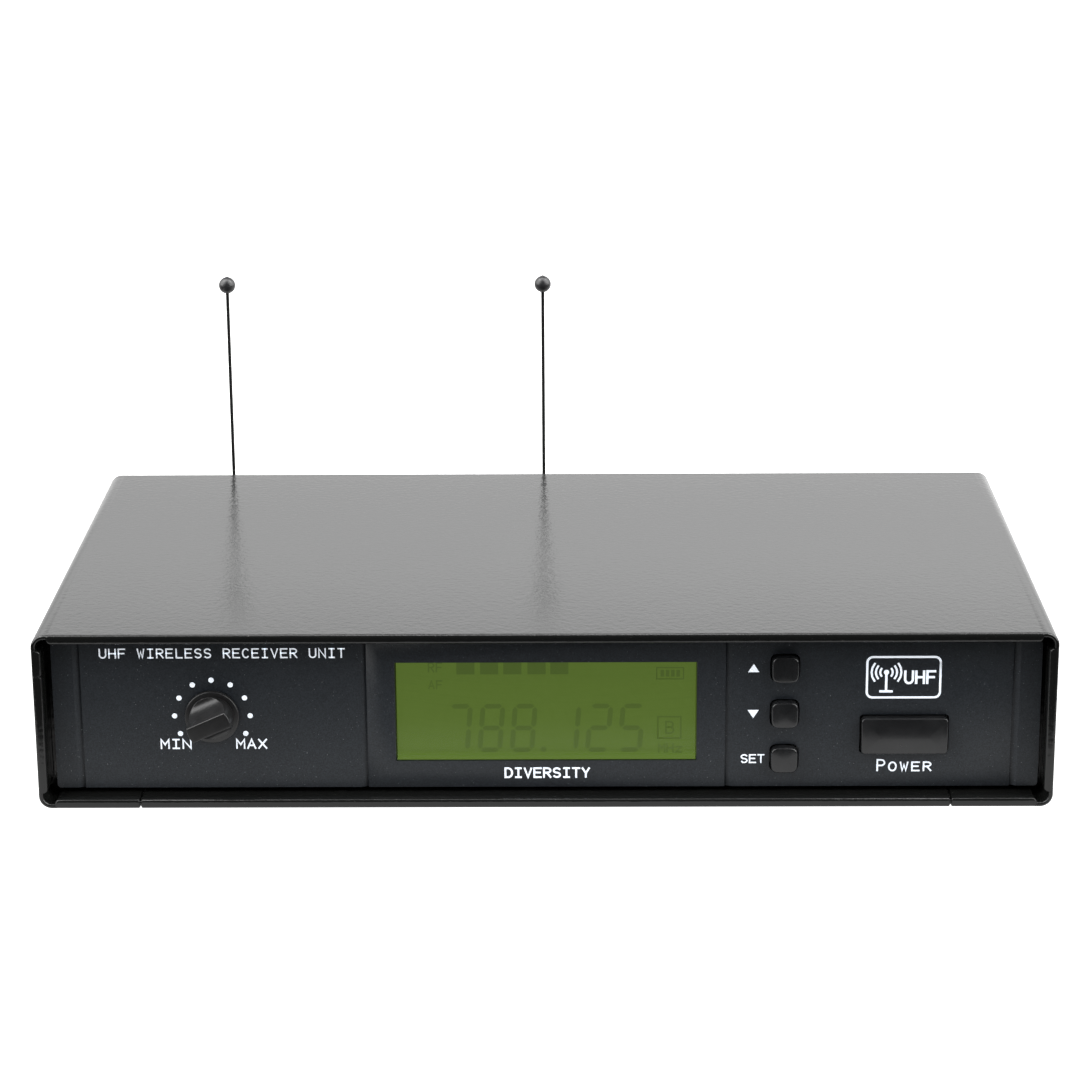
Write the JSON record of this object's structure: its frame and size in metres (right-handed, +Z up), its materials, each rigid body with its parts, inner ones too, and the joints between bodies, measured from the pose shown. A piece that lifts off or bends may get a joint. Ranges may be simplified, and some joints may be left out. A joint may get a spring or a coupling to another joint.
{
  "type": "wireless receiver",
  "caption": "Half-rack wireless microphone receiver: steel sleeve case, recessed panel with volume knob, display and push buttons, and swivelling whip antennas behind.",
  "frame": {"origin": "centre of the bounding box, at the height of the surface the feet stand on", "axes": "+X right as seen from the front, +Y from the front to the rear, +Z up"},
  "size_m": [0.212, 0.1386, 0.087],
  "materials": {
    "case_paint": "fine textured semi-gloss black paint on steel",
    "panel_plastic": "fine grained charcoal",
    "foot_rubber": "black rubber",
    "black_screw": "black oxide",
    "steel_screw": "zinc plated",
    "clear_window": "clear polished",
    "lcd_glass": "olive green liquid crystal",
    "tin_plate": "tinned sheet",
    "diffuser": "milky diffuser",
    "circuit_board": "green solder mask",
    "ribbon": "grey flat cable",
    "knob_plastic": "glossy black",
    "button_plastic": "fine matt charcoal",
    "plain_aluminium": "turned",
    "plain_steel": "turned",
    "pot_body": "passivated",
    "plated_nut": "nickel plated",
    "black_plastic": "moulded black",
    "white_plastic": "moulded white",
    "blue_plastic": "moulded blue",
    "brass_part": "turned brass",
    "capacitor_sleeve": "shrink sleeve",
    "chip_resin": "moulding resin",
    "dark_aluminium": "black anodised",
    "lead_jacket": "black jacket",
    "dark_zinc": "black zinc casting",
    "gold_contact": "gold plated",
    "black_wire": "black coated spring wire"
  },
  "bodies": {
    "case": {"cover": "case_paint", "tray": "case_paint", "front_panel": "panel_plastic", "front_bracket": "case_paint", "rear_panel": "case_paint", "feet": "foot_rubber", "case_screws": "black_screw", "xlr_screws": "black_screw", "front_screws": "steel_screw", "board_screws": "steel_screw", "display_window": "clear_window", "display_glass": "lcd_glass", "display_frame": "tin_plate", "display_backlight": "diffuser", "front_board": "circuit_board", "main_board": "circuit_board", "ribbon_cable": "ribbon", "key_switches": "black_plastic", "volume_pot": "pot_body", "squelch_pot": "pot_body", "pot_nuts": "plated_nut", "power_switch": "blue_plastic", "board_standoffs": "brass_part", "tuner_cans": "tin_plate", "capacitors": "capacitor_sleeve", "chips": "chip_resin", "regulator": "chip_resin", "heat_sink": "dark_aluminium", "antenna_leads": "lead_jacket", "antenna_sockets": "brass_part", "antenna_nuts": "plated_nut", "xlr_shell": "dark_zinc", "xlr_insert": "black_plastic", "xlr_pins": "gold_contact", "output_jack": "black_plastic", "jack_nut": "plated_nut", "dc_inlet": "black_plastic", "dc_pin": "tin_plate"},
    "volume": {"volume_knob": "knob_plastic", "volume_shaft": "plain_aluminium"},
    "up_key": {"up_button": "button_plastic", "up_plunger": "black_plastic"},
    "down_key": {"down_button": "button_plastic", "down_plunger": "black_plastic"},
    "set_key": {"set_button": "button_plastic", "set_plunger": "black_plastic"},
    "power_key": {"power_button": "button_plastic", "power_plunger": "white_plastic"},
    "squelch": {"squelch_shaft": "white_plastic"},
    "antenna_a_swivel": {"antenna_a_fork": "black_plastic", "antenna_a_pin": "plain_steel"},
    "antenna_a_whip": {"antenna_a_hub": "black_plastic", "antenna_a_rod": "black_wire", "antenna_a_tip": "black_plastic"},
    "antenna_b_swivel": {"antenna_b_fork": "black_plastic", "antenna_b_pin": "plain_steel"},
    "antenna_b_whip": {"antenna_b_hub": "black_plastic", "antenna_b_rod": "black_wire", "antenna_b_tip": "black_plastic"}
  },
  "joints": [
    {"name": "volume_turn", "type": "hinge", "parent": "case", "child": "volume", "pos_m": [-0.0694, -0.06215, 0.02165], "axis": [0, 1, 0], "range_deg": [-6, 234]},
    {"name": "up_press", "type": "slide", "parent": "case", "child": "up_key", "axis": [0, 1, 0], "range_m": [0, 0.0005], "stiffness_N_per_m": 2400, "springref_m": -0.0003},
    {"name": "down_press", "type": "slide", "parent": "case", "child": "down_key", "axis": [0, 1, 0], "range_m": [0, 0.0005], "stiffness_N_per_m": 2400, "springref_m": -0.0003},
    {"name": "set_press", "type": "slide", "parent": "case", "child": "set_key", "axis": [0, 1, 0], "range_m": [0, 0.0005], "stiffness_N_per_m": 2400, "springref_m": -0.0003},
    {"name": "power_press", "type": "slide", "parent": "case", "child": "power_key", "axis": [0, 1, 0], "range_m": [0, 0.0018], "stiffness_N_per_m": 1100, "springref_m": -0.0008},
    {"name": "antenna_a_swing", "type": "hinge", "parent": "case", "child": "antenna_a_swivel", "pos_m": [-0.0775, 0.06585, 0.02165], "axis": [0, 1, 0], "range_deg": [-80, 80]},
    {"name": "antenna_a_tilt", "type": "hinge", "parent": "antenna_a_swivel", "child": "antenna_a_whip", "pos_m": [-0.0775, 0.06585, 0.02165], "axis": [-1, 0, 0], "range_deg": [0, 90]},
    {"name": "antenna_b_swing", "type": "hinge", "parent": "case", "child": "antenna_b_swivel", "pos_m": [-0.0013, 0.06585, 0.02165], "axis": [0, 1, 0], "range_deg": [-80, 80]},
    {"name": "antenna_b_tilt", "type": "hinge", "parent": "antenna_b_swivel", "child": "antenna_b_whip", "pos_m": [-0.0013, 0.06585, 0.02165], "axis": [-1, 0, 0], "range_deg": [0, 90]},
    {"name": "squelch_turn", "type": "hinge", "parent": "case", "child": "squelch", "pos_m": [-0.03, 0.05385, 0.02165], "axis": [0, 1, 0], "range_deg": [-135, 135]}
  ]
}
